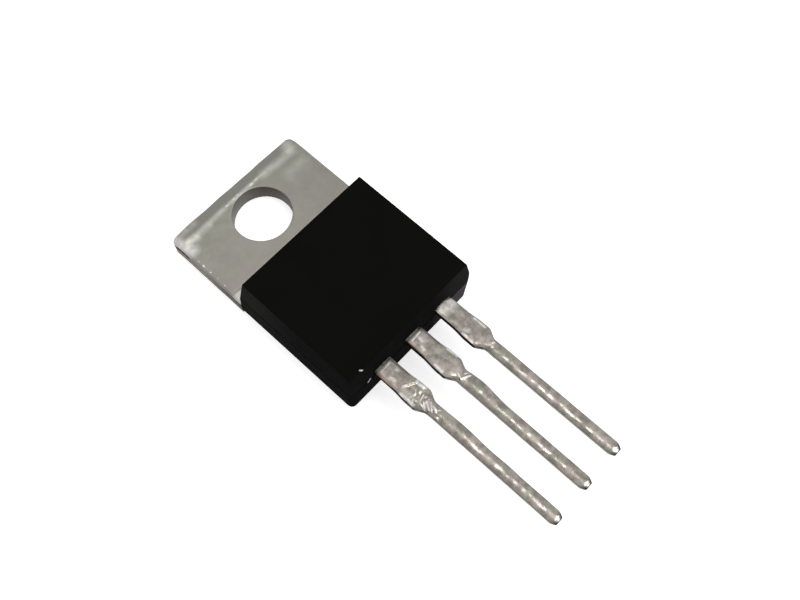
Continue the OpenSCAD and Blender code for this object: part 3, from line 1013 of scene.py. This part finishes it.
def lead_top(look):
    """Colour of the leads' upper faces, with painted highlights and painted shade."""
    hue = look.ramp(look.grain(1.0, 2), 0.4, 0.6)
    patches = look.ramp(look.grain(0.45, 5), 0.35, 0.65)
    base = look.mix(patches, look.mix(hue, *DIP_DARKER), look.mix(hue, *DIP_LIGHTER))
    broken = look.ramp(look.grain(0.22, 3), 0.3, 0.6, 0.45, 1.0)
    # Painted highlights, near white, on the roots, shoulders and wrinkled necks, broken up by
    # noise.
    marks = look.both(look.strokes(LEAD_HIGHLIGHTS, LEAD_HIGH.z), broken)
    base = look.mix(marks, base, DIP_HIGHLIGHT)
    base = look.mix(look.strokes(LEAD_SHADES, LEAD_HIGH.z), base, DIP_SHADE)
    warm = look.both(look.strokes(LEAD_COPPER, LEAD_HIGH.z), broken)
    base = look.mix(warm, base, DIP_COPPER)
    # Nearly black painted shade at the edges of two roots.
    root_shade = look.capped(look.strokes(LEAD_ROOT_SHADES, LEAD_HIGH.z))
    base = look.mix(root_shade, base, ROOT_SHADE_BLACK)
    # Painted highlights, near white, on the bevels of the cut ends.
    ends = look.both(look.capped(look.strokes(LEAD_END_HIGHLIGHTS, LEAD_HIGH.z)), broken)
    return look.mix(ends, base, END_HIGHLIGHT)


def lead_edges(look, y, patches, base):
    """Adds the cut ends, and painted shade on the rolled edges and the sheared sides, to the
    colour of the top.
    """
    base = look.mix(look.ramp(y, TIP_Y + 0.05, TIP_Y + 0.03), base, CUT_FACE)
    # Painted shade on the rounded edges, darker near the resin.
    rolled = look.mix(look.ramp(y, *EDGE_RUN), *ROLLED_EDGE_SHADE)
    base = look.mix(look.ramp(look.facing("Z"), *LEAD_TOP_TO_EDGE), base, rolled)
    # Painted shade on the sheared sides, in patches.
    side = look.ramp(look.math("ABSOLUTE", look.facing("X")), *LEAD_SIDE_FROM)
    return look.mix(side, base, look.mix(patches, *LEAD_SIDE_SHADE))


def lead_finish():
    """Uneven solder dip over copper, with painted shade on the sheared sides, darkest near the
    roots.
    """
    look = Finish("dipped_solder", Specular_IOR_Level=0.0)
    y = look.axis("Y")
    patches = look.ramp(look.grain(0.5, 4), 0.35, 0.65)
    base = lead_edges(look, y, patches, lead_top(look))
    ragged_y = look.math("ADD", y, look.ramp(patches, 0.0, 1.0, -0.5, 0.5))
    x_facing = look.facing("X")
    # Painted shade on the +x sides near the roots, with ragged ends.
    right_root_shade = look.both(look.ramp(ragged_y, *RIGHT_RUN), look.ramp(x_facing, *LEAD_RIGHT_FROM))
    base = look.mix(right_root_shade, base, ROOT_SIDE_SHADE)
    # Nearly black painted shade on the -x sides near the roots, which are not metallic there
    # either.
    left_root_shade = look.both(look.ramp(ragged_y, *LEFT_RUN), look.ramp(x_facing, *LEAD_LEFT_FROM))
    base = look.mix(left_root_shade, base, ROOT_SHADE_BLACK)
    look.give(Base_Color=look.mix(look.stroke(*SIDE_COPPER), base, ROOT_COPPER),
              Metallic=look.inverse(left_root_shade),
              Roughness=look.ramp(look.grain(0.5, 3), 0.38, 0.62, 0.15, 0.36))
    even = look.ramp(y, RESIN_Y - 0.1, RESIN_Y - 1.3, 0.1, 1.0)
    look.bump((look.both(look.grain(0.05, 2), even), 0.0006),
              (look.both(look.grain(0.25, 2, (1, 3, 1)), even), 0.005))
    return look.material


def plain_finish(name, colours, grain, rough_grain, roughness, bump_grain, depth):
    """A bare metal of two close colours, with grain sizes and a bump depth in millimetres."""
    look = Finish(name, Metallic=1.0)
    look.give(Base_Color=look.mix(look.grain(grain), *colours),
              Roughness=look.ramp(look.grain(rough_grain), 0.3, 0.7, *roughness))
    look.bump((look.grain(bump_grain), depth))
    return look.material


# Sealed pieces: colours, and the thickness of the die's pads
SOFT_SOLDER = ((0.40, 0.40, 0.42), (0.55, 0.55, 0.57))
ALUMINIUM = ((0.75, 0.75, 0.76), (0.86, 0.86, 0.87))
SILICON = ((0.12, 0.13, 0.17), (0.2, 0.2, 0.24))
DIE_PAD = (0.8, 0.8, 0.8)
DIE_PAD_T = 0.02


def silicon_finish():
    """Polished silicon, with pale metal on the raised pads."""
    look = Finish("polished_silicon")
    face_z = DIE_HIGH.z - DIE_PAD_T
    pad = look.ramp(look.axis("Z"), face_z + 0.001, face_z + 0.004)
    block = look.grain(0.35, 1)
    look.give(Base_Color=look.mix(pad, look.mix(block, *SILICON), DIE_PAD),
              Roughness=look.ramp(block, 0.3, 0.7, 0.12, 0.2))
    look.bump((look.grain(0.05), 0.001))
    return look.material


def dress_inner_pieces():
    """Gives the sealed pieces their own finishes."""
    solder = plain_finish("dull_soft_solder", SOFT_SOLDER, 0.3, 0.1, (0.4, 0.6), 0.1, 0.004)
    wire = plain_finish("drawn_aluminium", ALUMINIUM, 0.2, 0.05, (0.2, 0.35), 0.03, 0.001)
    finishes = {"die_solder": solder, "regulator_die": silicon_finish()}
    for node in ("input_wire", "output_wire", "sense_wire", "ground_wire"):
        finishes[node] = wire
    for node, material in finishes.items():
        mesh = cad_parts[node].data
        mesh.materials.clear()
        mesh.materials.append(material)


# Stage, lamps and camera

def node_with(nodes, links, kind, operation, first, second):
    """A node of two inputs, joined to a socket and to a socket or a number."""
    node = nodes.new(kind)
    node.operation = operation
    links.new(first, node.inputs[0])
    if isinstance(second, bpy.types.NodeSocket):
        links.new(second, node.inputs[1])
    else:
        node.inputs[1].default_value = second
    return node.outputs


def floor_finish():
    """Pale and matt, with a glow for the camera and for metal and glass that mirror it."""
    material = bpy.data.materials.new("pale_floor")
    material.use_nodes = True
    nodes = material.node_tree.nodes
    links = material.node_tree.links
    surface = nodes["Principled BSDF"]
    surface.inputs["Base Color"].default_value = FLOOR_COLOUR
    surface.inputs["Roughness"].default_value = 0.9
    surface.inputs["Specular IOR Level"].default_value = 0.0
    rays = nodes.new("ShaderNodeLightPath").outputs
    seen = rays["Is Camera Ray"]
    for kind in ("Is Glossy Ray", "Is Transmission Ray"):
        seen = node_with(nodes, links, "ShaderNodeMath", "MAXIMUM", seen, rays[kind])[0]
    strength = node_with(nodes, links, "ShaderNodeMath", "MULTIPLY", seen, FLOOR_GLOW)[0]
    glow = nodes.new("ShaderNodeEmission")
    links.new(strength, glow.inputs["Strength"])
    total = nodes.new("ShaderNodeAddShader")
    links.new(surface.outputs[0], total.inputs[0])
    links.new(glow.outputs[0], total.inputs[1])
    links.new(total.outputs[0], nodes["Material Output"].inputs["Surface"])
    return material


def make_floor():
    bpy.ops.mesh.primitive_circle_add(radius=FLOOR_RADIUS, vertices=96, fill_type="NGON")
    floor = bpy.context.object
    floor.name = "floor"
    floor.location.z = -FLOOR_GAP * MM
    floor.data.materials.append(floor_finish())


def make_sky():
    """Soft light from all round, brightest overhead."""
    world = bpy.data.worlds.new("soft_room")
    world.use_nodes = True
    bpy.context.scene.world = world
    nodes = world.node_tree.nodes
    links = world.node_tree.links
    direction = nodes.new("ShaderNodeTexCoord").outputs["Generated"]
    growth = node_with(
        nodes, links, "ShaderNodeVectorMath", "DOT_PRODUCT", direction, SKY_SLOPE)["Value"]
    level = node_with(nodes, links, "ShaderNodeMath", "ADD", growth, SKY_LEVEL)[0]
    background = nodes["Background"]
    links.new(level, background.inputs["Strength"])
    background.inputs["Color"].default_value = (1, 1, 1, 1)


def make_lamp(name, direction, half_across, half_along, brightness):
    """A soft lamp that the part sees as an ellipse of these half angles, in degrees."""
    middle = (CAD_BOX[0] + CAD_BOX[1]) / 2
    away = Vector(direction).normalized()
    across = LAMP_DISTANCE * math.tan(math.radians(half_across))
    along = LAMP_DISTANCE * math.tan(math.radians(half_along))
    lamp = bpy.data.lights.new(name, "AREA")
    lamp.shape = "ELLIPSE"
    lamp.size = 2 * across
    lamp.size_y = 2 * along
    lamp.energy = brightness * math.pi * math.pi * across * along
    holder = bpy.data.objects.new(name, lamp)
    holder.location = middle + away * LAMP_DISTANCE
    holder.rotation_mode = "QUATERNION"
    holder.rotation_quaternion = (-away).to_track_quat("-Z", "Y")
    bpy.context.scene.collection.objects.link(holder)


def make_camera():
    camera = bpy.data.cameras.new("photo_camera")
    camera.lens = CAMERA_LENS
    camera.sensor_width = CAMERA_SENSOR
    camera.clip_start = CAMERA_NEAR * MM
    holder = bpy.data.objects.new("photo_camera", camera)
    place = Vector(CAMERA_PLACE) * MM
    forward = (Vector(CAMERA_AIM) * MM - place).normalized()
    holder.location = place
    holder.rotation_mode = "QUATERNION"
    roll = Quaternion(forward, math.radians(CAMERA_ROLL))
    holder.rotation_quaternion = roll @ forward.to_track_quat("-Z", "Y")
    bpy.context.scene.collection.objects.link(holder)
    bpy.context.scene.camera = holder


make_camera()
make_floor()
make_sky()
for name, values in LAMPS.items():
    make_lamp(name, *values)
make_body(resin_finish())
make_tab(tab_finish())
dipped = lead_finish()
for node, middle_x in zip(DIPS, LEAD_MIDDLES):
    make_lead(node, middle_x, dipped)
dress_inner_pieces()
bpy.context.scene.view_settings.view_transform = "Standard"
